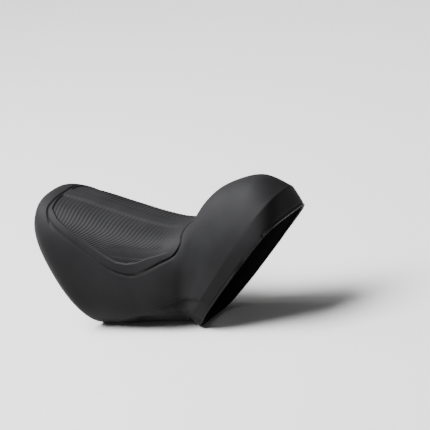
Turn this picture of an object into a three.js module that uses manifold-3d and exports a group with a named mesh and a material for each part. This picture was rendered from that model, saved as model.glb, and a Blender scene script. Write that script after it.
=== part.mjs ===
import * as THREE from 'three';
import { mergeVertices } from 'three/addons/utils/BufferGeometryUtils.js';
import Module from 'manifold-3d';

// Brake lever hood: one moulded rubber cover that slips over the body of a drop bar brake lever.
// Millimetres. +X points to the front opening, +Y to the rider's right, +Z up.
// The hood stands on its heel, under the rear opening, and on the lip under the front opening.

// Main sizes, as the hood stands. The tables below are shares of these.
const LENGTH = 118.3;
const WIDTH = 41.2;
const HEIGHT = 60.5;

// Shell
const WALL = 2.2;
const GROUND_FLAT = 0.5;          // rubber trimmed flat where the heel and the lip meet the ground
const CUT_MARGIN = 6;             // how far a cutting solid reaches past what it cuts

// Cross sections from the rear rim to the front rim. Each lies in its own slanted plane, from a point
// on the crown line to a point on the keel line, both as [share of LENGTH, share of HEIGHT]. half is the
// half width as a share of WIDTH, waist the height of the widest point as a share of the section, and
// top and base are superellipse exponents: 2 is an ellipse, and a larger one has a flatter middle and
// tighter corners.
const SECTIONS = [
  { at: 'rear rim', crown: [-0.587, 0.893], keel: [-0.448, 0], half: 0.449, waist: 0.58, top: 2.5, base: 2.2 },
  { at: 'nose', crown: [-0.541, 0.966], keel: [-0.423, 0], half: 0.502, waist: 0.57, top: 2.6, base: 2.35 },
  { at: 'grip', crown: [-0.423, 0.916], keel: [-0.359, 0.007], half: 0.495, waist: 0.56, top: 2.8, base: 2.5 },
  { at: 'grip', crown: [-0.292, 0.826], keel: [-0.283, 0.015], half: 0.488, waist: 0.56, top: 3, base: 2.7 },
  { at: 'grip', crown: [-0.156, 0.739], keel: [-0.203, 0.023], half: 0.478, waist: 0.56, top: 3.1, base: 2.8 },
  { at: 'saddle', crown: [-0.038, 0.693], keel: [-0.135, 0.026], half: 0.471, waist: 0.56, top: 3, base: 2.9 },
  { at: 'horn', crown: [0.051, 0.729], keel: [-0.089, 0.026], half: 0.447, waist: 0.55, top: 2.5, base: 3 },
  { at: 'horn', crown: [0.125, 0.881], keel: [-0.063, 0.026], half: 0.425, waist: 0.54, top: 2.15, base: 3.1 },
  { at: 'horn', crown: [0.211, 0.967], keel: [-0.052, 0.028], half: 0.43, waist: 0.55, top: 2.1, base: 3.2 },
  { at: 'horn', crown: [0.334, 1.005], keel: [-0.045, 0.031], half: 0.451, waist: 0.58, top: 2.15, base: 3.3 },
  { at: 'crease', crown: [0.412, 0.896], keel: [-0.037, 0.038], half: 0.464, waist: 0.63, top: 2.7, base: 3.5 },
  { at: 'front rim', crown: [0.417, 0.732], keel: [0, 0], half: 0.449, waist: 0.74, top: 3.6, base: 4 },
];
const FRONT = SECTIONS.length - 1;
const SADDLE = SECTIONS.findIndex((section) => section.at === 'saddle');
const CREASE = SECTIONS.findIndex((section) => section.at === 'crease');

// Places on the skin are [along, girth]: along runs on the crown line from the rear rim, and girth
// round the skin from the crown line, positive on the rider's left and negative on the right. In the
// tables below, along is a share of LENGTH and girth a share of WIDTH.

// Ribbed panels, one on each side of the smooth band on the crown line
const BAND_HALF_WIDTH = 0.058 * WIDTH;
const PANEL_REAR = 0.12 * LENGTH;
const PANEL_FRONT = 0.617 * LENGTH;
const PANEL_DEPTH = 0.9;
const PANEL_FRONT_DEPTH = 0.3;
const PANEL_SHALLOWS = 13;        // how far behind its front end the panel starts to get shallow
const PANEL_EDGE = [
  [0.113, 0.316], [0.146, 0.425], [0.192, 0.493], [0.262, 0.568], [0.357, 0.648], [0.402, 0.67],
  [0.452, 0.653], [0.499, 0.609], [0.555, 0.529], [0.621, 0.471], [0.693, 0.447],
];
const RIB_PITCH = 1.8;
const RIB_HEIGHT = 0.6;
const RIB_SLOPE = 3;              // how steeply a rib sweeps to the rear on the panel's lower part
const RIB_TURN = { from: 0.427 * WIDTH, span: 1.7 };   // girth where it has swept to half that slope
const RIB_STRAIGHTEN = { from: 0.583 * WIDTH, span: 1.5 };
const RIB_CURL = 0.423 * LENGTH;  // the ribs nearer the rear sweep less
const RIB_FADE = { from: PANEL_FRONT - 9, to: PANEL_FRONT - 2 };
const SMOOTH_PATCH = { along: 0.465, girth: 0.541, halfLength: 0.144, halfHeight: 0.058, slope: -0.2 };

// Groove that frames both panels
const GROOVE_WIDTH = 1.1;
const GROOVE_DEPTH = 0.8;
const GROOVE_LINE = [
  [0.112, 0], [0.106, 0.194], [0.098, 0.34], [0.117, 0.476], [0.183, 0.575], [0.282, 0.687],
  [0.355, 0.762], [0.431, 0.769], [0.493, 0.731], [0.607, 0.568], [0.671, 0.5], [0.686, 0.403],
  [0.659, 0.255], [0.639, 0],
];

// Dished finger rest under the side, in front of the keel
const FINGER_REST_DEPTH = 0.9;
const FINGER_REST_BLEND = 2.5;
const FINGER_REST_ENDS = { rear: [0.304, 0.423], front: [0.997, 1.082] };
const FINGER_REST_EDGE = [
  [0.304, 1.505], [0.456, 1.228], [0.549, 1.117], [0.639, 1.058], [0.732, 1.109], [0.82, 1.235],
  [0.938, 1.432], [1.082, 1.626],
];

// Fineness of the solids
const OUTER_STATIONS = [
  { to: 1, steps: 5 }, { to: SADDLE, steps: 12 }, { to: CREASE, steps: 13 }, { to: FRONT, steps: 2 },
];
const INNER_STATIONS = [
  { to: 1, steps: 3 }, { to: SADDLE, steps: 6 }, { to: CREASE, steps: 9 }, { to: FRONT, steps: 1 },
];
const OUTER_HALF_STEPS = 24;
const INNER_HALF_STEPS = 14;
const SECTION_SAMPLES = 120;
const CROWN_SAMPLES = 440;
const PANEL_ROWS = 9;
const GROOVE_STEPS = 110;

const { clamp, lerp, smoothstep } = THREE.MathUtils;
const wasm = await Module();
wasm.setup();

// The sections in millimetres, as pairs of values
const scaled = SECTIONS.map(({ crown, keel, half, waist, top, base }) => ({
  crown: new THREE.Vector2(crown[0] * LENGTH, crown[1] * HEIGHT),
  keel: new THREE.Vector2(keel[0] * LENGTH, keel[1] * HEIGHT),
  width: new THREE.Vector2(half * WIDTH, waist),
  round: new THREE.Vector2(top, base),
}));

// Values between the sections: splines up to the crease, and straight lines from there to the rim.
const lines = {};
for (const name of ['crown', 'keel', 'width', 'round']) {
  lines[name] = new THREE.SplineCurve(scaled.slice(0, FRONT).map((section) => section[name]));
}

function between(name, station) {
  const point = lines[name].getPoint(Math.min(station, CREASE) / CREASE);
  return point.lerp(scaled[FRONT][name], clamp(station - CREASE, 0, 1));
}

// One side of a section as points from the crown to the keel, with their distances round the skin.
function sectionOutline(station) {
  const crown = between('crown', station);
  const keel = between('keel', station);
  const width = between('width', station);
  const round = between('round', station);
  const chord = crown.clone();
  if (station > SADDLE) {
    chord.copy(scaled[SADDLE].crown);
    chord.lerp(scaled[FRONT].crown, (station - SADDLE) / (FRONT - SADDLE));
  }
  const points = [];
  const girths = [];
  for (let i = 0; i <= SECTION_SAMPLES; i += 1) {
    const angle = Math.PI * smoothstep(i / SECTION_SAMPLES, 0, 1);
    const upper = Math.cos(angle) >= 0;
    const power = 2 / (upper ? round.x : round.y);
    const rise = Math.abs(Math.cos(angle)) ** power;
    const height = upper ? lerp(width.y, 1, rise) : lerp(width.y, 0, rise);
    const top = chord.clone().lerp(crown, height);
    const place = keel.clone().lerp(top, height);
    points.push(new THREE.Vector3(place.x, -width.x * Math.sin(angle) ** power, place.y));
    girths.push(i === 0 ? 0 : girths[i - 1] + points[i].distanceTo(points[i - 1]));
  }
  return { points, girths, halfGirth: girths[SECTION_SAMPLES] };
}

const outlines = new Map();

function outlineAt(station) {
  const kept = clamp(station, 0, FRONT);
  if (!outlines.has(kept)) {
    outlines.set(kept, sectionOutline(kept));
  }
  return outlines.get(kept);
}

// The place in a rising list of numbers that a value falls at, as an index with a fraction.
function placeInList(list, value) {
  let low = 0;
  let high = list.length - 1;
  while (high - low > 1) {
    const middle = (low + high) >> 1;
    if (list[middle] > value) {
      high = middle;
    } else {
      low = middle;
    }
  }
  return low + clamp((value - list[low]) / (list[high] - list[low]), 0, 1);
}

function skinPoint(station, girth) {
  const { points, girths } = outlineAt(station);
  const place = placeInList(girths, Math.abs(girth));
  const index = Math.min(Math.floor(place), SECTION_SAMPLES - 1);
  const point = points[index].clone().lerp(points[index + 1], place - index);
  point.y *= Math.sign(girth) || 1;
  return point;
}

// The outward normal of the skin, from points a little before and behind, and to both sides.
function skinNormal(station, girth) {
  const reach = 0.04;
  const side = 0.4;
  const { halfGirth } = outlineAt(station);
  const middle = clamp(girth, side - halfGirth, halfGirth - side);
  const forward = skinPoint(station + reach, middle).sub(skinPoint(station - reach, middle));
  const round = skinPoint(station, middle + side).sub(skinPoint(station, middle - side));
  const normal = round.cross(forward).normalize();
  if (Math.abs(girth) < side / 2 || Math.abs(girth) > halfGirth - side / 2) {
    normal.setY(0).normalize();
  }
  return normal;
}

const crownLengths = [0];
for (let i = 1; i <= CROWN_SAMPLES; i += 1) {
  const here = skinPoint((i / CROWN_SAMPLES) * FRONT, 0);
  const last = skinPoint(((i - 1) / CROWN_SAMPLES) * FRONT, 0);
  crownLengths.push(crownLengths[i - 1] + here.distanceTo(last));
}

function stationAt(along) {
  return (placeInList(crownLengths, along) / CROWN_SAMPLES) * FRONT;
}

function alongAt(station) {
  const place = (clamp(station, 0, FRONT) / FRONT) * CROWN_SAMPLES;
  const index = Math.min(Math.floor(place), CROWN_SAMPLES - 1);
  return lerp(crownLengths[index], crownLengths[index + 1], place - index);
}

// The girth of an edge line at a distance along the hood, straight between its points.
function girthOnEdge(edge, along) {
  const place = placeInList(edge.map((point) => point[0] * LENGTH), along);
  const index = Math.min(Math.floor(place), edge.length - 2);
  return lerp(edge[index][1], edge[index + 1][1], place - index) * WIDTH;
}

function stationList(spans) {
  const list = [0];
  let from = 0;
  for (const { to, steps } of spans) {
    for (let i = 1; i <= steps; i += 1) {
      list.push(lerp(from, to, i / steps));
    }
    from = to;
  }
  return list;
}

function fingerRestDepth(station, girth) {
  const along = alongAt(station);
  const { rear, front } = FINGER_REST_ENDS;
  const share = along / LENGTH;
  const ends = smoothstep(share, ...rear) * (1 - smoothstep(share, ...front));
  const past = Math.abs(girth) - girthOnEdge(FINGER_REST_EDGE, along);
  return FINGER_REST_DEPTH * ends * smoothstep(past, 0, FINGER_REST_BLEND);
}

// A ring of points round one section, moved along the normals by offset(station, girth).
function ring(station, halfSteps, offset) {
  const { halfGirth } = outlineAt(station);
  const points = [];
  for (let i = 0; i < 2 * halfSteps; i += 1) {
    const share = i <= halfSteps ? i / halfSteps : i / halfSteps - 2;
    const girth = share * halfGirth;
    const point = skinPoint(station, girth);
    points.push(point.addScaledVector(skinNormal(station, girth), offset(station, girth)));
  }
  return points;
}

// A closed solid from rings with the same number of points, flat at both ends.
function solidFromRings(rings, closedLoop = false) {
  const size = rings[0].length;
  const points = rings.flat();
  const triangles = [];
  const spans = closedLoop ? rings.length : rings.length - 1;
  for (let i = 0; i < spans; i += 1) {
    const here = i * size;
    const next = ((i + 1) % rings.length) * size;
    for (let j = 0; j < size; j += 1) {
      const k = (j + 1) % size;
      triangles.push(here + j, next + j, next + k, here + j, next + k, here + k);
    }
  }
  if (!closedLoop) {
    for (const [from, turned] of [[0, false], [points.length - size, true]]) {
      const centre = new THREE.Vector3();
      for (let j = 0; j < size; j += 1) {
        centre.addScaledVector(points[from + j], 1 / size);
      }
      points.push(centre);
      for (let j = 0; j < size; j += 1) {
        const k = (j + 1) % size;
        const pair = turned ? [from + k, from + j] : [from + j, from + k];
        triangles.push(points.length - 1, ...pair);
      }
    }
  }
  return solidFromMesh(points, triangles);
}

// Merges equal points, and turns the faces outward if they point in.
function solidFromMesh(points, triangles) {
  const geometry = new THREE.BufferGeometry().setFromPoints(points);
  geometry.setIndex(triangles);
  const merged = mergeVertices(geometry, 1e-4);
  const vertProperties = new Float32Array(merged.attributes.position.array);
  let volume = 0;
  const index = Array.from(merged.index.array);
  const corner = [new THREE.Vector3(), new THREE.Vector3(), new THREE.Vector3()];
  for (let i = 0; i < index.length; i += 3) {
    corner.forEach((point, j) => point.fromBufferAttribute(merged.attributes.position, index[i + j]));
    volume += corner[0].dot(corner[1].cross(corner[2]));
  }
  if (volume < 0) {
    index.reverse();
  }
  const mesh = new wasm.Mesh({ numProp: 3, vertProperties, triVerts: new Uint32Array(index) });
  return new wasm.Manifold(mesh);
}

function solidFromGeometry(source) {
  const geometry = source.clone();
  geometry.deleteAttribute('normal');
  geometry.deleteAttribute('uv');
  const merged = mergeVertices(geometry);
  const vertProperties = new Float32Array(merged.attributes.position.array);
  const mesh = new wasm.Mesh({ numProp: 3, vertProperties, triVerts: new Uint32Array(merged.index.array) });
  return new wasm.Manifold(mesh);
}

function outerSolid() {
  const sink = (station, girth) => -fingerRestDepth(station, girth);
  return solidFromRings(stationList(OUTER_STATIONS).map((station) => ring(station, OUTER_HALF_STEPS, sink)));
}

// The outward normal of the plane of an end section.
function rimNormal({ crown, keel }, outward) {
  return new THREE.Vector3(crown.y - keel.y, 0, keel.x - crown.x).normalize().multiplyScalar(outward);
}

// The hollow follows the skin one wall inside it, and runs out past both rims.
function hollowSolid() {
  const rings = stationList(INNER_STATIONS).map((station) => ring(station, INNER_HALF_STEPS, () => -WALL));
  const rearOut = rimNormal(scaled[0], -CUT_MARGIN);
  const frontOut = rimNormal(scaled[FRONT], CUT_MARGIN);
  const rear = rings[0].map((point) => point.clone().add(rearOut));
  const front = rings[rings.length - 1].map((point) => point.clone().add(frontOut));
  return solidFromRings([rear, ...rings, front]);
}

// A ramp that turns smoothly from 0 to a slope of 1 at a girth.
function softRamp(girth, { from, span }) {
  return span * Math.log1p(Math.exp((girth - from) / span));
}

// Where a rib that starts at a place on the crown line has swept to at a girth.
function ribAlong(start, girth) {
  const sweep = RIB_SLOPE * (softRamp(girth, RIB_TURN) - softRamp(girth, RIB_STRAIGHTEN));
  return RIB_CURL * Math.asinh(Math.sinh(start / RIB_CURL) * Math.exp((-1.25 * sweep) / RIB_CURL));
}

// The girth at which a rib runs into the panel's lower edge.
function ribEnd(start) {
  let low = BAND_HALF_WIDTH;
  let high = WIDTH;
  for (let i = 0; i < 30; i += 1) {
    const middle = (low + high) / 2;
    if (middle < girthOnEdge(PANEL_EDGE, ribAlong(start, middle))) {
      low = middle;
    } else {
      high = middle;
    }
  }
  return low;
}

// The share of its full height that a rib has at a place.
function ribShare(along, girth) {
  const patch = SMOOTH_PATCH;
  const ahead = along - patch.along * LENGTH;
  const below = girth - patch.girth * WIDTH - patch.slope * ahead;
  const reach = Math.hypot(ahead / (patch.halfLength * LENGTH), below / (patch.halfHeight * WIDTH));
  return smoothstep(reach, 0.75, 1.2) * (1 - smoothstep(along, RIB_FADE.from, RIB_FADE.to));
}

// What is cut away for one panel: its floor carries the ribs, and its roof clears the skin.
function panelCutter(side) {
  const halfRibs = 2 * Math.floor((PANEL_FRONT - PANEL_REAR) / RIB_PITCH);
  const rows = PANEL_ROWS;
  const floor = [];
  const roof = [];
  for (let i = 0; i <= halfRibs; i += 1) {
    const start = PANEL_REAR + (i * RIB_PITCH) / 2;
    const end = ribEnd(start);
    for (let j = 0; j <= rows; j += 1) {
      const girth = lerp(BAND_HALF_WIDTH, end, j / rows);
      const along = ribAlong(start, girth);
      const station = stationAt(along);
      const shallow = smoothstep(along, PANEL_FRONT - PANEL_SHALLOWS, PANEL_FRONT);
      const sunk = lerp(PANEL_DEPTH, PANEL_FRONT_DEPTH, shallow);
      const rise = i % 2 === 0 ? 0 : RIB_HEIGHT * ribShare(along, girth);
      const normal = skinNormal(station, girth);
      floor.push(skinPoint(station, girth).addScaledVector(normal, rise - sunk));
      roof.push(skinPoint(station, girth).addScaledVector(normal, WALL / 2));
    }
  }
  const points = [...floor, ...roof];
  const lift = floor.length;
  const width = rows + 1;
  const triangles = [];
  for (let i = 0; i < halfRibs; i += 1) {
    for (let j = 0; j < rows; j += 1) {
      const a = i * width + j;
      const b = a + width;
      triangles.push(a, b, b + 1, a, b + 1, a + 1);
      triangles.push(a + lift, b + 1 + lift, b + lift, a + lift, a + 1 + lift, b + 1 + lift);
    }
  }
  const border = [];
  for (let i = 0; i < halfRibs; i += 1) {
    border.push(i * width);
  }
  for (let j = 0; j < rows; j += 1) {
    border.push(halfRibs * width + j);
  }
  for (let i = halfRibs; i > 0; i -= 1) {
    border.push(i * width + rows);
  }
  for (let j = rows; j > 0; j -= 1) {
    border.push(j);
  }
  border.forEach((here, i) => {
    const next = border[(i + 1) % border.length];
    triangles.push(next, here, here + lift, next, here + lift, next + lift);
  });
  for (const point of points) {
    point.y *= side;
  }
  return solidFromMesh(points, triangles);
}

// A three-sided sweep along the groove line: its lower corner is the groove's bottom.
function grooveCutter() {
  const near = GROOVE_LINE.map(([along, girth]) => new THREE.Vector3(along * LENGTH, girth * WIDTH, 0));
  const far = near.slice(1, -1).reverse().map((point) => new THREE.Vector3(point.x, -point.y, 0));
  const line = new THREE.CatmullRomCurve3([...near, ...far], true);
  const places = line.getSpacedPoints(GROOVE_STEPS).slice(0, GROOVE_STEPS);
  const onSkin = places.map((place) => skinPoint(stationAt(place.x), place.y));
  const rings = places.map((place, i) => {
    const here = onSkin[i];
    const next = onSkin[(i + 1) % GROOVE_STEPS];
    const last = onSkin[(i + GROOVE_STEPS - 1) % GROOVE_STEPS];
    const normal = skinNormal(stationAt(place.x), place.y);
    const across = next.clone().sub(last).cross(normal).normalize();
    const lift = WALL / 2;
    const reach = (GROOVE_WIDTH / 2) * (1 + lift / GROOVE_DEPTH);
    return [
      here.clone().addScaledVector(normal, -GROOVE_DEPTH),
      here.clone().addScaledVector(normal, lift).addScaledVector(across, reach),
      here.clone().addScaledVector(normal, lift).addScaledVector(across, -reach),
    ];
  });
  return solidFromRings(rings, true);
}

// Everything below the height at which the heel and the lip are flat.
function groundCutter() {
  const span = 2 * (LENGTH + CUT_MARGIN);
  const box = new THREE.BoxGeometry(span, span, CUT_MARGIN);
  box.translate(0, 0, GROUND_FLAT - CUT_MARGIN / 2);
  return solidFromGeometry(box);
}

function hoodGeometry() {
  const solid = outerSolid()
    .subtract(hollowSolid())
    .subtract(panelCutter(1))
    .subtract(panelCutter(-1))
    .subtract(grooveCutter())
    .subtract(groundCutter());
  const mesh = solid.getMesh();
  const geometry = new THREE.BufferGeometry();
  geometry.setAttribute('position', new THREE.BufferAttribute(new Float32Array(mesh.vertProperties), 3));
  geometry.setIndex(new THREE.BufferAttribute(new Uint32Array(mesh.triVerts), 1));
  geometry.computeVertexNormals();
  return geometry;
}

// Soft matte black rubber
const rubber = new THREE.MeshStandardMaterial({ color: 0x1c1c1d, roughness: 0.72, metalness: 0 });

const hood = new THREE.Mesh(hoodGeometry(), rubber);
hood.name = 'hood';

// The origin is on the ground under the middle of the hood's box.
hood.geometry.computeBoundingBox();
const { min, max } = hood.geometry.boundingBox;
hood.position.set(-(min.x + max.x) / 2, 0, -min.z);

const part = new THREE.Group();
part.add(hood);

export default part;
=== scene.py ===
"""Looks of a brake lever hood: one moulded rubber cover, ribbed on top and open at both ends."""

import logging
import math
from dataclasses import dataclass, field
from enum import Enum
from typing import Callable, List, Sequence, Tuple

import bmesh
import bpy
import numpy as np
from mathutils import Matrix, Vector


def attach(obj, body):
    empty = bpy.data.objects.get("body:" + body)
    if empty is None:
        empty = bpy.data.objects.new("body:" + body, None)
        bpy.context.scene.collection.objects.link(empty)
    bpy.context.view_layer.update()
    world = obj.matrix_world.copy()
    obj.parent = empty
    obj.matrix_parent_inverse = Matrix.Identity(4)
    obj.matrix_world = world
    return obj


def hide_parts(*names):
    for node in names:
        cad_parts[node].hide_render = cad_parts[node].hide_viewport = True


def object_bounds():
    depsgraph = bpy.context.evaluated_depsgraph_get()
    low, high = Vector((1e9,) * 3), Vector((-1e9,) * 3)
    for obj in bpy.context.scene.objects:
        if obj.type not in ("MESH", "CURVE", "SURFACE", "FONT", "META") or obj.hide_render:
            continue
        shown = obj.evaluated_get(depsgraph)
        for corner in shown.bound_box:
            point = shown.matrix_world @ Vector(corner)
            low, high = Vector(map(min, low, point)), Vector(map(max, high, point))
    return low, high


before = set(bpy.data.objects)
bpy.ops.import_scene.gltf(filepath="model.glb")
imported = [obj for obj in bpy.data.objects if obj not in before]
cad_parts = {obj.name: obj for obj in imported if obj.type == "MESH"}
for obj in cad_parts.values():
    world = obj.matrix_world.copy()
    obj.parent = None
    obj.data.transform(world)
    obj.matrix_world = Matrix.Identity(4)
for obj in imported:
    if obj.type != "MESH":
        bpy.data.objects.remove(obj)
cad_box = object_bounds()

LOG = logging.getLogger("hood")
MM = 0.001

Pair = Tuple[float, float]
Points = np.ndarray


def smoothstep(values: Points, low: float, high: float) -> Points:
    """Rises smoothly from 0 at low to 1 at high.

    Args:
        values: Numbers to map.
        low: Where the rise starts.
        high: Where the rise ends.

    Returns:
        One share from 0 to 1 for each number.
    """
    share = np.clip((values - low) / (high - low), 0.0, 1.0)
    return share * share * (3.0 - 2.0 * share)


def on_line(values: Points, line: Sequence[Pair]) -> Points:
    """Reads a line of (place, value) points, straight between them.

    Args:
        values: Places to read at.
        line: Points in rising order of place.

    Returns:
        The line's value at each place.
    """
    return np.interp(values, [point[0] for point in line], [point[1] for point in line])


def spline_rows(rows: Points, places: Points) -> Points:
    """Runs a uniform Catmull-Rom spline through rows of numbers.

    Args:
        rows: One row for each knot.
        places: Knot numbers with fractions, from 0 to the last knot.

    Returns:
        One row for each place.
    """
    last = len(rows) - 1
    index = np.minimum(places.astype(int), last - 1)
    share = (places - index)[:, None]
    here, after = rows[index], rows[index + 1]
    before = rows[np.maximum(index - 1, 0)]
    beyond = rows[np.minimum(index + 2, last)]
    slope_in, slope_out = (after - before) / 2, (beyond - here) / 2
    cube = 2 * here - 2 * after + slope_in + slope_out
    square = -3 * here + 3 * after - 2 * slope_in - slope_out
    return cube * share**3 + square * share**2 + slope_in * share + here


@dataclass(frozen=True)
class Section:
    """One cross section of the skin, in its own slanted plane.

    The crown and keel points are shares of the hood's length and height, half is a share of its
    width, waist is the height of the widest point as a share of the section, and top and base are
    superellipse exponents.
    """

    crown: Pair
    keel: Pair
    half: float
    waist: float
    top: float
    base: float

    def row(self, length: float, width: float, height: float) -> List[float]:
        """Returns the section in millimetres, as one row of numbers."""
        crown = [self.crown[0] * length, self.crown[1] * height]
        keel = [self.keel[0] * length, self.keel[1] * height]
        return [*crown, *keel, self.half * width, self.waist, self.top, self.base]


@dataclass
class Skin:
    """The hood's outer surface, as a table of points along it and round one half of it.

    A place on the skin is (along, girth), in millimetres: along is measured on the crown line from
    the rear rim, and girth round the skin from the crown line to the keel line.
    """

    length: float = 118.3
    width: float = 41.2
    height: float = 60.5
    ground_flat: float = 0.5
    sections: Tuple[Section, ...] = (
        Section((-0.587, 0.893), (-0.448, 0.0), 0.449, 0.58, 2.5, 2.2),
        Section((-0.541, 0.966), (-0.423, 0.0), 0.502, 0.57, 2.6, 2.35),
        Section((-0.423, 0.916), (-0.359, 0.007), 0.495, 0.56, 2.8, 2.5),
        Section((-0.292, 0.826), (-0.283, 0.015), 0.488, 0.56, 3.0, 2.7),
        Section((-0.156, 0.739), (-0.203, 0.023), 0.478, 0.56, 3.1, 2.8),
        Section((-0.038, 0.693), (-0.135, 0.026), 0.471, 0.56, 3.0, 2.9),
        Section((0.051, 0.729), (-0.089, 0.026), 0.447, 0.55, 2.5, 3.0),
        Section((0.125, 0.881), (-0.063, 0.026), 0.425, 0.54, 2.15, 3.1),
        Section((0.211, 0.967), (-0.052, 0.028), 0.43, 0.55, 2.1, 3.2),
        Section((0.334, 1.005), (-0.045, 0.031), 0.451, 0.58, 2.15, 3.3),
        Section((0.412, 0.896), (-0.037, 0.038), 0.464, 0.63, 2.7, 3.5),
        Section((0.417, 0.732), (0.0, 0.0), 0.449, 0.74, 3.6, 4.0),
    )
    saddle: int = 5
    crease: int = 10
    steps: int = 60
    shares: int = 401
    samples: int = 260
    slope_rows: float = 2.0
    slope_columns: float = 1.5
    rows: Points = field(init=False)
    shift: Points = field(init=False)
    stations: Points = field(init=False)
    table: Points = field(init=False)
    half_girth: Points = field(init=False)
    crown_length: Points = field(init=False)

    def __post_init__(self) -> None:
        """Fills the table of points."""
        sizes = (self.length, self.width, self.height)
        self.rows = np.array([section.row(*sizes) for section in self.sections])
        self.shift = np.array([cad_box[1][0] / MM - self.rows[-1, 0], 0.0, -self.ground_flat])
        front = len(self.sections) - 1
        self.stations = np.linspace(0, front, front * self.steps + 1)
        outlines = self._outlines()
        lengths = np.linalg.norm(np.diff(outlines, axis=1), axis=2)
        girths = np.concatenate([np.zeros((len(outlines), 1)), np.cumsum(lengths, axis=1)], axis=1)
        self.half_girth = girths[:, -1]
        even = np.linspace(0, 1, self.shares)
        self.table = np.stack([self._even_row(*row, even) for row in zip(outlines, girths)])
        crown_steps = np.linalg.norm(np.diff(self.table[:, 0], axis=0), axis=1)
        self.crown_length = np.concatenate([[0.0], np.cumsum(crown_steps)])

    def _outlines(self) -> Points:
        """Draws the half outlines in the resting frame.

        Returns:
            One row of points for each station, from the crown line to the keel line.
        """
        rows = self.rows
        body = spline_rows(rows[: self.crease + 1], np.minimum(self.stations, self.crease))
        past = np.clip(self.stations - self.crease, 0, 1)[:, None]
        values = body * (1 - past) + rows[-1] * past
        crown, keel = values[:, None, 0:2], values[:, None, 2:4]
        half, waist, top, base = (values[:, None, column] for column in range(4, 8))
        span = len(rows) - 1 - self.saddle
        share = np.clip((self.stations - self.saddle) / span, 0, 1)[:, None, None]
        straight = rows[self.saddle, 0:2] * (1 - share) + rows[-1, 0:2] * share
        chord = np.where((self.stations <= self.saddle)[:, None, None], crown, straight)
        angle = math.pi * smoothstep(np.linspace(0, 1, self.samples), 0, 1)[None, :]
        upper = np.cos(angle) >= 0
        power = 2 / np.where(upper, top, base)
        rise = np.abs(np.cos(angle)) ** power
        height = np.where(upper, waist + (1 - waist) * rise, waist * (1 - rise))[..., None]
        middle = keel * (1 - height) + height * (chord * (1 - height) + crown * height)
        across = -half * np.clip(np.sin(angle), 0, 1) ** power
        across[:, -1] = 0
        return np.stack([middle[..., 0], across, middle[..., 1]], axis=-1) + self.shift

    @staticmethod
    def _even_row(points: Points, girths: Points, even: Points) -> Points:
        """Returns an outline's points at even shares of its length."""
        places = even * girths[-1]
        return np.stack([np.interp(places, girths, points[:, axis]) for axis in range(3)], axis=-1)

    def rows_at(self, along: Points) -> Points:
        """Returns table rows, with fractions, at distances along the crown line."""
        return np.interp(along, self.crown_length, np.arange(len(self.crown_length)))

    def girth_at(self, along: Points) -> Points:
        """Returns the half girth at distances along the crown line."""
        return np.interp(along, self.crown_length, self.half_girth)

    def station_length(self, station: float) -> float:
        """Returns how far along the crown line a station lies."""
        return float(np.interp(station, self.stations, self.crown_length))

    def read(self, rows: Points, columns: Points) -> Points:
        """Reads the table between its points.

        Args:
            rows: Table rows with fractions.
            columns: Table columns with fractions.

        Returns:
            One point of the skin for each place.
        """
        row = np.clip(rows.astype(int), 0, len(self.table) - 2)
        column = np.clip(columns.astype(int), 0, self.shares - 2)
        down = (rows - row)[..., None]
        over = (columns - column)[..., None]
        near = self.table[row, column] * (1 - over) + self.table[row, column + 1] * over
        far = self.table[row + 1, column] * (1 - over) + self.table[row + 1, column + 1] * over
        return near * (1 - down) + far * down

    def place(self, along: Points, girth: Points) -> Tuple[Points, Points]:
        """Finds points of the skin and the outward normals there.

        Args:
            along: Distances along the crown line.
            girth: Distances round the skin, which stop at the keel line.

        Returns:
            The points and the unit normals.
        """
        rows = self.rows_at(along)
        last = self.shares - 1
        columns = np.clip(girth / self.girth_at(along), 0, 1) * last
        points = self.read(rows, columns)
        edge = self.slope_columns
        inner = np.clip(columns, edge, last - edge)
        low = np.maximum(rows - self.slope_rows, 0)
        high = np.minimum(rows + self.slope_rows, len(self.table) - 1)
        forward = self.read(high, inner) - self.read(low, inner)
        round_it = self.read(rows, inner + edge) - self.read(rows, inner - edge)
        normals = np.cross(round_it, forward)
        flat = (columns < edge / 2) | (columns > last - edge / 2)
        normals[..., 1] = np.where(flat, 0, normals[..., 1])
        points[..., 1] = np.where(columns >= last - 1e-6, 0, points[..., 1])
        return points, normals / np.linalg.norm(normals, axis=-1, keepdims=True)


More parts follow.
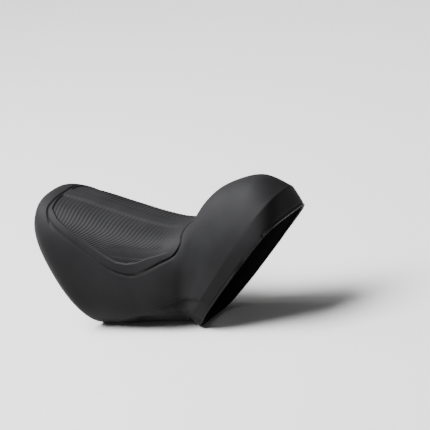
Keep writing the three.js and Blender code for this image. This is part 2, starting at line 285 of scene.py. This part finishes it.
@dataclass
class RibbedPanel:
    """The recessed panel beside the smooth band on the crown line, and its swept ribs.

    Lines and ranges are in millimetres along or round the skin. The ribs run straight down from the
    band, turn to the rear, and straighten again. A smooth patch without ribs lies low in front.
    """

    band: float = 2.4
    band_lead: float = 0.6
    rear: float = 14.2
    front: float = 77.0
    depth: float = 0.7
    front_depth: float = 0.3
    front_rise: float = 60.0
    front_blend: float = 8.0
    wall: float = 0.7
    band_blend: float = 1.6
    pitch: float = 1.8
    height: float = 0.24
    crest: int = 3
    low_share: float = 0.4
    full: Pair = (3.0, 12.0)
    slope: float = 2.3
    turn: Pair = (17.2, 1.7)
    straighten: Pair = (28.5, 1.0)
    curl: float = 50.0
    sweep_gain: float = 1.25
    lean: float = 0.9
    fade: Pair = (68.0, 76.0)
    edge: Tuple[Pair, ...] = (
        (0.0, 12.0), (13.4, 13.0), (17.3, 17.5), (22.7, 20.3), (31.0, 23.4), (42.2, 26.7), (47.5, 27.6),
        (53.5, 26.9), (59.0, 25.1), (65.7, 21.8), (73.5, 19.4), (82.0, 18.0), (141.0, 17.0),
    )
    patch_top: Tuple[Pair, ...] = (
        (42.0, 22.6), (46.0, 21.4), (52.0, 19.8), (58.0, 19.0), (64.0, 18.3), (70.0, 17.3), (76.0, 16.0),
    )
    patch_base: Tuple[Pair, ...] = ((40.0, 25.9), (47.4, 25.3), (53.0, 24.4), (58.0, 23.6), (61.0, 23.1))
    patch_rear: Pair = (42.0, 47.0)
    patch_top_blend: Pair = (-1.2, 0.8)
    patch_base_blend: Pair = (-0.6, 0.4)

    def follow(self, start: Points, girth: Points, slope: float) -> Points:
        """Follows a line from the crown line round the skin.

        Args:
            start: Where the line starts, along the crown line.
            girth: How far round the skin it is read.
            slope: How steeply the line runs to the rear where it turns; less than zero runs it back.

        Returns:
            How far along the hood the line is there.
        """
        ramps = [span * np.log1p(np.exp((girth - low) / span)) for low, span in (self.turn, self.straighten)]
        sweep = slope * (ramps[0] - ramps[1])
        shrink = np.exp(-self.sweep_gain * sweep / self.curl)
        return self.curl * np.arcsinh(np.sinh(start / self.curl) * shrink)

    def share(self, along: Points, girth: Points) -> Points:
        """Works out how tall the ribs are: low beside the band, and gone on the patch and in front.

        Args:
            along: How far along each place is.
            girth: How far round each place is.

        Returns:
            The share of its full height that a rib has at each place.
        """
        under = smoothstep(girth - on_line(along, self.patch_top), *self.patch_top_blend)
        over = 1 - smoothstep(girth - on_line(along, self.patch_base), *self.patch_base_blend)
        patch = under * over * smoothstep(along, *self.patch_rear)
        rise = self.low_share + (1 - self.low_share) * smoothstep(girth, *self.full)
        return rise * (1 - patch) * (1 - smoothstep(along, *self.fade))

    def relief(self, along: Points, girth: Points) -> Points:
        """Works out how far the panel's floor and ribs lie below the skin.

        Args:
            along: How far along each place is.
            girth: How far round each place is.

        Returns:
            Heights above the skin, all zero or less.
        """
        start = self.follow(along, girth, -self.slope)
        inside = smoothstep(girth, self.band - self.band_lead, self.band + self.band_blend)
        inside = inside * smoothstep(on_line(along, self.edge) - girth, 0, self.wall)
        inside = inside * smoothstep(along, self.rear - self.wall, self.rear)
        inside = inside * (1 - smoothstep(along, self.front - self.front_blend, self.front))
        rising = smoothstep(along, self.front_rise, self.front)
        sunk = self.depth + (self.front_depth - self.depth) * rising
        wave = np.abs(np.cos(math.pi * (start - self.rear) / self.pitch))
        rib = self.height * (1 - wave**self.crest) * self.share(along, girth)
        return inside * (rib - sunk)


@dataclass
class FramingGroove:
    """The narrow groove that runs round both panels.

    It is shallow and faint along the middle of the side, and full deep at both ends. Its floor and
    its reach are shares of its width.
    """

    width: float = 1.0
    depth: float = 0.7
    faint: float = 0.3
    floor: float = 0.1
    reach: float = 0.62
    soft_rear: Pair = (14.0, 20.0)
    soft_front: Pair = (36.0, 46.0)
    soft_side: Pair = (17.0, 21.0)
    zone_along: Pair = (8.0, 86.0)
    zone_girth: float = 36.0
    track_points: int = 1200
    batch: int = 100
    far: float = 99.0
    line: Tuple[Pair, ...] = (
        (13.2, 0.0), (12.5, 8.0), (11.6, 14.0), (13.9, 19.6), (21.6, 23.7), (33.4, 28.3), (42.0, 31.4),
        (51.0, 31.7), (58.3, 30.1), (71.8, 23.4), (79.4, 20.6), (81.2, 16.6), (78.0, 10.5), (75.6, 0.0),
    )
    row_line: Tuple[Pair, ...] = (
        (0.0, 16.0), (11.0, 17.5), (13.9, 19.6), (21.6, 23.7), (33.4, 28.3), (42.0, 31.4), (51.0, 31.7),
        (58.3, 30.1), (71.8, 23.4), (79.4, 20.6), (90.0, 19.5), (141.0, 19.0),
    )

    def relief(self, skin: Skin, points: Points, along: Points, girth: Points) -> Points:
        """Works out how deep the groove is at places of the skin.

        Args:
            skin: The surface that it is cut into.
            points: The places as points.
            along: How far along each place is.
            girth: How far round each place is.

        Returns:
            Heights above the skin, all zero or less.
        """
        knots = np.array(self.line)
        mirrored = knots[1] * (1, -1), knots[-2] * (1, -1)
        guided = np.concatenate([[mirrored[0]], knots, [mirrored[1]]])
        places = np.linspace(1, len(knots), self.track_points)
        route = spline_rows(guided, places)
        track = skin.place(route[:, 0], np.maximum(route[:, 1], 0))[0]
        near = (along > self.zone_along[0]) & (along < self.zone_along[1]) & (girth < self.zone_girth)
        gap = np.full(along.shape, self.far)
        found = points[near]
        best = np.full(len(found), self.far)
        for start in range(0, len(track), self.batch):
            distance = np.linalg.norm(found[:, None] - track[None, start:start + self.batch], axis=2)
            best = np.minimum(best, distance.min(axis=1))
        gap[near] = best
        soft = smoothstep(along, *self.soft_rear) * (1 - smoothstep(along, *self.soft_front))
        soft = soft * smoothstep(girth, *self.soft_side)
        depth = self.depth * (1 - soft) + self.faint * soft
        return -depth * (1 - smoothstep(gap, self.floor * self.width, self.reach * self.width))


@dataclass
class FingerRest:
    """The two shallow steps under the side where the fingers wrap round.

    Each is a line of (place along the hood, height above the ground) points, seen from the side.
    """

    first: Tuple[Pair, ...] = (
        (-38.0, 0.0), (-23.0, 4.9), (-13.6, 8.3), (-5.9, 10.6), (1.5, 13.2), (7.1, 15.0), (10.6, 15.6),
        (14.5, 15.8), (18.8, 15.6), (22.0, 14.0), (27.0, 9.0), (30.0, 4.0),
    )
    second: Tuple[Pair, ...] = (
        (-28.0, 0.0), (-15.4, 5.9), (-9.2, 7.1), (-2.9, 8.9), (2.1, 9.7), (5.7, 9.7), (9.0, 9.2),
        (12.0, 8.2), (15.0, 5.0), (17.0, 0.0),
    )
    first_depth: float = 0.9
    second_depth: float = 0.7
    blend: float = 0.7
    foot: Pair = (1.2, 4.2)
    rear_end: Pair = (-40.0, -22.0)
    front_end: Pair = (13.0, 24.0)

    def below(self, points: Points) -> Points:
        """Returns how far each point lies under the first step's edge, seen from the side."""
        return on_line(points[..., 0], self.first) - points[..., 2]

    def relief(self, points: Points) -> Points:
        """Works out how far the steps sink the skin.

        Args:
            points: Places on the skin.

        Returns:
            Heights above the skin, all zero or less.
        """
        along, up = points[..., 0], points[..., 2]
        ends = smoothstep(along, *self.rear_end) * (1 - smoothstep(along, *self.front_end))
        ends = ends * smoothstep(up, *self.foot)
        depth = np.zeros(along.shape)
        for line, step in ((self.first, self.first_depth), (self.second, self.second_depth)):
            below = on_line(along, line) - up
            depth = depth + step * smoothstep(below, 0, self.blend)
        return -ends * depth


class Wall(Enum):
    """Which face of the shell a sheet is."""

    OUTER = "outer"
    INNER = "inner"


@dataclass
class HoodShell:
    """The moulded shell: an outer sheet with its relief, an inner sheet and the two rims.

    The outer sheet's rows run between guide lines: crown, band, panel edge, groove, top and foot of
    the finger rest, and keel. Each row span holds its first line's number, its count of rows and
    how much closer they lie towards its end.
    """

    skin: Skin = field(default_factory=Skin)
    panel: RibbedPanel = field(default_factory=RibbedPanel)
    groove: FramingGroove = field(default_factory=FramingGroove)
    finger_rest: FingerRest = field(default_factory=FingerRest)
    wall: float = 2.2
    lip: float = 1.3
    lip_run: float = 6.0
    ground_wall: float = 0.8
    rim_bevel: float = 0.25
    bevel_segments: int = 3
    bead: float = 1.2
    bead_depth: float = 0.12
    bead_blend: float = 0.4
    rib_steps: int = 6
    inner_steps: int = 44
    inner_rows: int = 49
    rear_run: float = 9.0
    horn_start: float = 90.0
    rim_run: float = 2.4
    row_spans: Tuple[Tuple[int, int, float], ...] = (
        (0, 4, 1.0), (1, 62, 1.45), (2, 12, 1.0), (3, 30, 1.0), (4, 5, 1.0), (5, 16, 1.0),
    )
    girth_limit: float = 40.0
    halvings: int = 40
    land: float = 1.2
    settle: Pair = (-0.15, 0.6)
    probes: int = 241
    rest_usual: float = 0.75
    rest_limits: Pair = (0.4, 0.9)
    rest_step_limit: float = 0.08
    on_plane: float = 2e-6
    weld: float = 1e-6

    def column_starts(self, wall: Wall) -> Points:
        """Sets out a sheet's columns, closest where the ribs and the rims are.

        Args:
            wall: Which sheet they are for.

        Returns:
            Where each column starts on the crown line.
        """
        end = float(self.skin.crown_length[-1])
        crease = self.skin.station_length(self.skin.crease)
        panel = self.panel
        if wall is Wall.INNER:
            spans: Tuple[Tuple[float, float, int], ...] = (
                (0.0, 8.0, 6), (8.0, crease, self.inner_steps - 1), (crease, end, 3),
            )
        else:
            ribs = int((panel.front - panel.rear) / panel.pitch)
            last_rib = panel.rear + ribs * panel.pitch
            spans = (
                (0.0, self.rear_run, 14), (self.rear_run, panel.rear, 22),
                (panel.rear, last_rib, ribs * self.rib_steps), (last_rib, self.horn_start, 48),
                (self.horn_start, crease - 3, 34), (crease - 3, crease + 2, 12),
                (crease + 2, end - self.rim_run, 6), (end - self.rim_run, end, 12),
            )
        parts = [np.linspace(low, high, count + 1)[:-1] for low, high, count in spans]
        return np.concatenate([*parts, [end]])

    def row_places(self) -> Tuple[Tuple[int, float], ...]:
        """Sets out the outer sheet's rows.

        Returns:
            For each row, the guide line before it and its share of the way to the next.
        """
        rows: List[Tuple[int, float]] = []
        for span, count, power in self.row_spans:
            rows.extend((span, 1 - (1 - step / count) ** power) for step in range(count))
        rows.append((self.row_spans[-1][0], 1.0))
        return tuple(rows)

    def solve_line(self, starts: Points, line: Sequence[Pair]) -> Points:
        """Finds where each leaning column meets a guide line, by halving the girth between limits.

        Args:
            starts: Where the columns start on the crown line.
            line: The guide line's (along, girth) points.

        Returns:
            The girth at each crossing.
        """
        low, high = np.full(starts.shape, self.panel.band), np.full(starts.shape, self.girth_limit)
        for _ in range(self.halvings):
            middle = (low + high) / 2
            short = middle < on_line(self.panel.follow(starts, middle, self.panel.lean), line)
            low, high = np.where(short, middle, low), np.where(short, high, middle)
        return low

    def outer_places(self) -> Tuple[Points, Points]:
        """Lays the outer sheet's grid over the skin.

        Returns:
            For each grid point, how far along and how far round it is.
        """
        starts = self.column_starts(Wall.OUTER)
        lean = self.panel.lean
        edge = self.solve_line(starts, self.panel.edge)
        frame_line = np.maximum(self.solve_line(starts, self.groove.row_line), edge + self.land)
        drift = starts - self.panel.follow(starts, frame_line, lean)
        side = self.skin.girth_at(starts) - frame_line

        def down_side(share: Points) -> Tuple[Points, Points]:
            """Returns places from the groove's line, at share 0, to the keel line, at share 1."""
            ease = 1 - smoothstep(share, *self.settle)
            along = np.clip(starts - drift * ease, 0, self.skin.crown_length[-1])
            return along, frame_line + side * share

        probes = np.linspace(0, 1, self.probes)
        below = [self.finger_rest.below(self.skin.place(*down_side(np.full(starts.shape, probe)))[0])
                 for probe in probes]
        crossing = probes[np.argmax(np.array(below) > 0, axis=0)]
        rest_line = np.clip(np.where(crossing > 0, crossing, self.rest_usual), *self.rest_limits)
        rest_foot = rest_line + np.minimum(self.finger_rest.blend / side, self.rest_step_limit)
        guides = [np.zeros(starts.shape), np.full(starts.shape, self.panel.band), edge, frame_line]
        shares = [np.zeros(starts.shape), rest_line, rest_foot, np.ones(starts.shape)]
        along_rows, girth_rows = [], []
        for span, share in self.row_places():
            if span < 3:
                girth = guides[span] * (1 - share) + guides[span + 1] * share
                along = np.clip(self.panel.follow(starts, girth, lean), 0, self.skin.crown_length[-1])
            else:
                along, girth = down_side(shares[span - 3] * (1 - share) + shares[span - 2] * share)
            along_rows.append(along)
            girth_rows.append(girth)
        return np.stack(along_rows, axis=1), np.stack(girth_rows, axis=1)

    def outer_points(self) -> Points:
        """Shapes the outer sheet, with the panel, groove, finger rest and rim line in it.

        Returns:
            The points, by column and row.
        """
        along, girth = self.outer_places()
        points, normals = self.skin.place(along, girth)
        height = self.panel.relief(along, girth)
        height = height + self.groove.relief(self.skin, points, along, girth)
        height = height + self.finger_rest.relief(points)
        height = height + self.rim_line(along)
        points = points + normals * height[..., None]
        points[..., 2] = np.maximum(points[..., 2], 0)
        points[:, 0, 1] = 0
        points[:, -1, 1] = 0
        return self.flush_ends(points)

    def rim_line(self, along: Points) -> Points:
        """Returns the depth of the fine groove that sets off the bead round the front rim."""
        place = self.skin.crown_length[-1] - self.bead
        return -self.bead_depth * np.exp(-(((along - place) / self.bead_blend) ** 2))

    def inner_points(self) -> Points:
        """Shapes the inner sheet, one wall inside the skin and flush with both rims.

        Returns:
            The points, by column and row.
        """
        starts = self.column_starts(Wall.INNER)
        shares = np.linspace(0, 1, self.inner_rows)
        along = starts[:, None] * np.ones(shares.shape)
        girth = self.skin.girth_at(starts)[:, None] * shares
        points, normals = self.skin.place(along, girth)
        end = self.skin.crown_length[-1]
        thin = smoothstep(along, end - self.lip_run, end)
        points = points - normals * (self.wall + (self.lip - self.wall) * thin)[..., None]
        points[..., 2] = np.maximum(points[..., 2], self.ground_wall)
        points[:, 0, 1] = 0
        points[:, -1, 1] = 0
        return self.flush_ends(points)

    def rim_plane(self, end: int) -> Tuple[Points, Points]:
        """Finds the plane of a rim.

        Args:
            end: The rim: 0 at the rear, -1 at the front.

        Returns:
            A point on the plane and the plane's normal.
        """
        crown_x, crown_z, keel_x, keel_z = self.skin.rows[end, :4]
        normal = np.array([crown_z - keel_z, 0.0, keel_x - crown_x])
        origin = np.array([keel_x, 0.0, keel_z]) + self.skin.shift
        return origin, normal / np.linalg.norm(normal)

    def flush_ends(self, points: Points) -> Points:
        """Slides the first and last column along the sheet onto the planes of the rims.

        Args:
            points: The sheet's points, by column and row.

        Returns:
            The same points with flush ends.
        """
        done = points.copy()
        for end, after in ((0, 1), (-1, -2)):
            origin, normal = self.rim_plane(end)
            way = points[end] - points[after]
            way = way / np.linalg.norm(way, axis=1, keepdims=True)
            gap = (origin - points[end]) @ normal
            done[end] = points[end] + way * (gap / (way @ normal))[:, None]
        return done

    def sheet(self, wall: Wall) -> bpy.types.Object:
        """Shapes a grid primitive into one half of the outer or inner sheet.

        Args:
            wall: Which face of the shell to make.

        Returns:
            The sheet, from the crown line to the keel line on the near side.
        """
        points = self.outer_points() if wall is Wall.OUTER else self.inner_points()
        columns, rows = points.shape[:2]
        bpy.ops.object.select_all(action="DESELECT")
        bpy.ops.mesh.primitive_grid_add(x_subdivisions=columns - 1, y_subdivisions=rows - 1, size=2)
        sheet = bpy.context.active_object
        sheet.name = f"hood_{wall.value}"
        mesh = sheet.data
        flat = np.empty(len(mesh.vertices) * 3)
        mesh.vertices.foreach_get("co", flat)
        flat = flat.reshape(-1, 3)
        column = np.rint((flat[:, 0] + 1) / 2 * (columns - 1)).astype(int)
        row = np.rint((flat[:, 1] + 1) / 2 * (rows - 1)).astype(int)
        mesh.vertices.foreach_set("co", (points[column, row] * MM).ravel())
        mesh.update()
        if wall is Wall.OUTER:
            mesh.flip_normals()
        return sheet

    def build(self) -> bpy.types.Object:
        """Makes the whole shell.

        Returns:
            One closed mesh at the origin.
        """
        outer, inner = self.sheet(Wall.OUTER), self.sheet(Wall.INNER)
        bpy.ops.object.select_all(action="DESELECT")
        for sheet in (inner, outer):
            sheet.select_set(True)
            bpy.context.view_layer.objects.active = sheet
        bpy.ops.object.join()
        shell = bpy.context.active_object
        shell.name = "hood_shell"
        mirror = shell.modifiers.new("other_side", "MIRROR")
        mirror.use_axis = (False, True, False)
        mirror.merge_threshold = self.weld
        bpy.ops.object.modifier_apply(modifier=mirror.name)
        for end in (0, -1):
            self.close_rim(shell, end)
        bpy.ops.object.shade_smooth()
        return shell

    def close_rim(self, shell: bpy.types.Object, end: int) -> None:
        """Bridges the outer and inner sheet at one rim, and softens the rim's edges.

        Args:
            shell: The joined sheets.
            end: The rim: 0 at the rear, -1 at the front.
        """
        origin, normal = self.rim_plane(end)
        plane_point, plane_normal = Vector(origin) * MM, Vector(normal)
        bpy.ops.object.mode_set(mode="EDIT")
        bpy.ops.mesh.select_mode(type="EDGE")
        bpy.ops.mesh.select_all(action="DESELECT")
        form = bmesh.from_edit_mesh(shell.data)
        on_rim: Callable[[bmesh.types.BMVert], bool] = (
            lambda vertex: abs((vertex.co - plane_point).dot(plane_normal)) < self.on_plane)
        for edge in form.edges:
            if edge.is_boundary and all(on_rim(vertex) for vertex in edge.verts):
                edge.select = True
        bmesh.update_edit_mesh(shell.data)
        bpy.ops.mesh.bridge_edge_loops()
        bpy.ops.mesh.select_all(action="DESELECT")
        form = bmesh.from_edit_mesh(shell.data)
        for edge in form.edges:
            flat = [all(on_rim(vertex) for vertex in face.verts) for face in edge.link_faces]
            if flat.count(True) == 1:
                edge.select = True
        bmesh.update_edit_mesh(shell.data)
        bpy.ops.mesh.bevel(offset=self.rim_bevel * MM, segments=self.bevel_segments, affect="EDGES",
                           clamp_overlap=True)
        bpy.ops.object.mode_set(mode="OBJECT")


def linear(code: str) -> Tuple[float, float, float, float]:
    """Turns an sRGB hex colour into linear numbers with full alpha."""
    values = np.array([int(code[place:place + 2], 16) / 255 for place in (1, 3, 5)])
    red, green, blue = np.where(values <= 0.04045, values / 12.92, ((values + 0.055) / 1.055) ** 2.4)
    return float(red), float(green), float(blue), 1.0


def add_node(tree: bpy.types.NodeTree, kind: str, links: Sequence[Tuple[str, object]] = (),
             **settings: object) -> bpy.types.Node:
    """Adds a node with its settings and its inputs.

    Args:
        tree: The node tree to add to.
        kind: The node's type name.
        links: Pairs of an input's name and a value or an output socket.
        settings: Attributes to set on the node.

    Returns:
        The new node.
    """
    node = tree.nodes.new(kind)
    for name, value in settings.items():
        setattr(node, name, value)
    for name, value in links:
        if isinstance(value, bpy.types.NodeSocket):
            tree.links.new(value, node.inputs[name])
        else:
            node.inputs[name].default_value = value
    return node


@dataclass(frozen=True)
class MouldedRubber:
    """Compression moulded black rubber from a spark-eroded mould.

    The mould leaves a fine even grain, so the skin is dark and matt, its highlights are wide and
    soft, and its shade and gloss drift a little over a centimetre or so. The grain of the real skin
    is finer than the picture can show, so it is drawn about three times as coarse.
    """

    name: str = "moulded_black_rubber"
    dark: str = "#1a1a1b"
    pale: str = "#202021"
    shade_range: Pair = (0.3, 0.7)
    roughness: float = 0.6
    roughness_drift: float = 0.04
    ior: float = 1.52
    gloss: float = 0.05
    cloud_mm: float = 14.0
    cloud_detail: float = 3.0
    grain_mm: float = 0.35
    grain_detail: float = 2.0
    grain_height_mm: float = 0.012
    grain_strength: float = 0.6

    def material(self) -> bpy.types.Material:
        """Mixes the rubber.

        Returns:
            The material.
        """
        material = bpy.data.materials.new(self.name)
        material.use_nodes = True
        tree = material.node_tree
        shader = tree.nodes["Principled BSDF"]
        shader.inputs["IOR"].default_value = self.ior
        shader.inputs["Specular IOR Level"].default_value = self.gloss
        place = add_node(tree, "ShaderNodeTexCoord").outputs["Object"]
        cloud = add_node(tree, "ShaderNodeTexNoise", [
            ("Vector", place), ("Scale", 1 / (self.cloud_mm * MM)), ("Detail", self.cloud_detail)])
        patchy = add_node(tree, "ShaderNodeMapRange", [
            ("Value", cloud.outputs["Fac"]), ("To Min", self.roughness - self.roughness_drift),
            ("To Max", self.roughness + self.roughness_drift)])
        tree.links.new(patchy.outputs["Result"], shader.inputs["Roughness"])
        shade = add_node(tree, "ShaderNodeValToRGB", [("Fac", cloud.outputs["Fac"])])
        stops = zip(shade.color_ramp.elements, (self.dark, self.pale), self.shade_range)
        for stop, colour, share in stops:
            stop.color = linear(colour)
            stop.position = share
        tree.links.new(shade.outputs["Color"], shader.inputs["Base Color"])
        grain = add_node(tree, "ShaderNodeTexNoise", [
            ("Vector", place), ("Scale", 1 / (self.grain_mm * MM)), ("Detail", self.grain_detail)])
        bump = add_node(tree, "ShaderNodeBump", [
            ("Height", grain.outputs["Fac"]), ("Strength", self.grain_strength),
            ("Distance", self.grain_height_mm * MM)])
        tree.links.new(bump.outputs["Normal"], shader.inputs["Normal"])
        return material


@dataclass(frozen=True)
class StudioPaper:
    """Matt pale grey background paper: no gloss and no grain at this distance."""

    name: str = "pale_background_paper"
    colour: str = "#bdbdbd"
    roughness: float = 0.95
    gloss: float = 0.1

    def material(self) -> bpy.types.Material:
        """Mixes the paper.

        Returns:
            The material.
        """
        material = bpy.data.materials.new(self.name)
        material.use_nodes = True
        shader = material.node_tree.nodes["Principled BSDF"]
        shader.inputs["Base Color"].default_value = linear(self.colour)
        shader.inputs["Roughness"].default_value = self.roughness
        shader.inputs["Specular IOR Level"].default_value = self.gloss
        return material


@dataclass(frozen=True)
class Softbox:
    """A square studio light, placed by its direction from the hood."""

    name: str
    azimuth: float
    elevation: float
    distance: float
    side: float
    power: float

    def place(self, target: Vector) -> None:
        """Adds the light.

        Args:
            target: The point that it faces.
        """
        turn, lift = math.radians(self.azimuth), math.radians(self.elevation)
        way = Vector((math.sin(turn) * math.cos(lift), -math.cos(turn) * math.cos(lift), math.sin(lift)))
        lamp = bpy.data.lights.new(self.name, "AREA")
        lamp.shape = "SQUARE"
        lamp.size = self.side
        lamp.energy = self.power
        light = bpy.data.objects.new(self.name, lamp)
        light.location = target + way * self.distance
        light.rotation_euler = way.to_track_quat("Z", "Y").to_euler()
        bpy.context.collection.objects.link(light)


@dataclass
class Studio:
    """The floor, the soft lights and the camera."""

    paper: StudioPaper = StudioPaper()
    floor_side: float = 6.0
    world: str = "#ffffff"
    world_strength: float = 0.25
    lights: Tuple[Softbox, ...] = (
        Softbox("key_softbox", azimuth=-45, elevation=60, distance=1.1, side=0.7, power=70),
        Softbox("rear_softbox", azimuth=-95, elevation=35, distance=1.2, side=0.5, power=8),
    )
    light_target: Tuple[float, float, float] = (0.0, 0.0, 30.0)
    riding_azimuth: float = 32.0
    riding_elevation: float = 26.9
    nose_down: float = 16.4
    aim: Tuple[float, float, float] = (24.05, 0.0, 44.52)
    distance: float = 1080.0
    focal_pixels: float = 2700.0
    picture_pixels: float = 430.0
    sensor: float = 36.0
    near_clip: float = 0.01

    def floor(self) -> None:
        """Lays the plain floor under the hood."""
        bpy.ops.object.select_all(action="DESELECT")
        bpy.ops.mesh.primitive_plane_add(size=self.floor_side, location=(0, 0, 0))
        floor = bpy.context.active_object
        floor.name = "studio_floor"
        floor.data.materials.append(self.paper.material())
        # The paper throws no soft light back up, so the hood's lower side stays dark.
        floor.visible_diffuse = False

    def sky(self) -> None:
        """Sets the even light that comes from all round."""
        world = bpy.data.worlds.new("studio_world")
        world.use_nodes = True
        background = world.node_tree.nodes["Background"]
        background.inputs["Color"].default_value = linear(self.world)
        background.inputs["Strength"].default_value = self.world_strength
        bpy.context.scene.world = world

    def camera(self) -> None:
        """Places the camera where it stands to a hood on its handlebar, turned with the hood."""
        turn = Matrix.Rotation(math.radians(self.nose_down), 4, "Y")
        turn = turn @ Matrix.Rotation(math.radians(self.riding_azimuth), 4, "Z")
        turn = turn @ Matrix.Rotation(math.radians(90 - self.riding_elevation), 4, "X")
        lens = bpy.data.cameras.new("photo_camera")
        lens.sensor_width = self.sensor
        lens.lens = self.focal_pixels / self.picture_pixels * self.sensor
        lens.clip_start = self.near_clip
        camera = bpy.data.objects.new("photo_camera", lens)
        back = turn.to_3x3() @ Vector((0, 0, 1))
        place = Vector(self.aim) * MM + back * self.distance * MM
        camera.matrix_world = Matrix.Translation(place) @ turn
        bpy.context.collection.objects.link(camera)
        bpy.context.scene.camera = camera

    def build(self) -> None:
        """Sets up the whole studio."""
        self.floor()
        self.sky()
        for light in self.lights:
            light.place(Vector(self.light_target) * MM)
        self.camera()


def main() -> None:
    logging.basicConfig(level=logging.INFO, format="%(message)s")
    shell = HoodShell().build()
    shell.data.materials.clear()
    shell.data.materials.append(MouldedRubber().material())
    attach(shell, "root")
    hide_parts("hood")
    LOG.info("hood_shell: %d faces", len(shell.data.polygons))
    Studio().build()


if __name__ == "__main__":
    main()
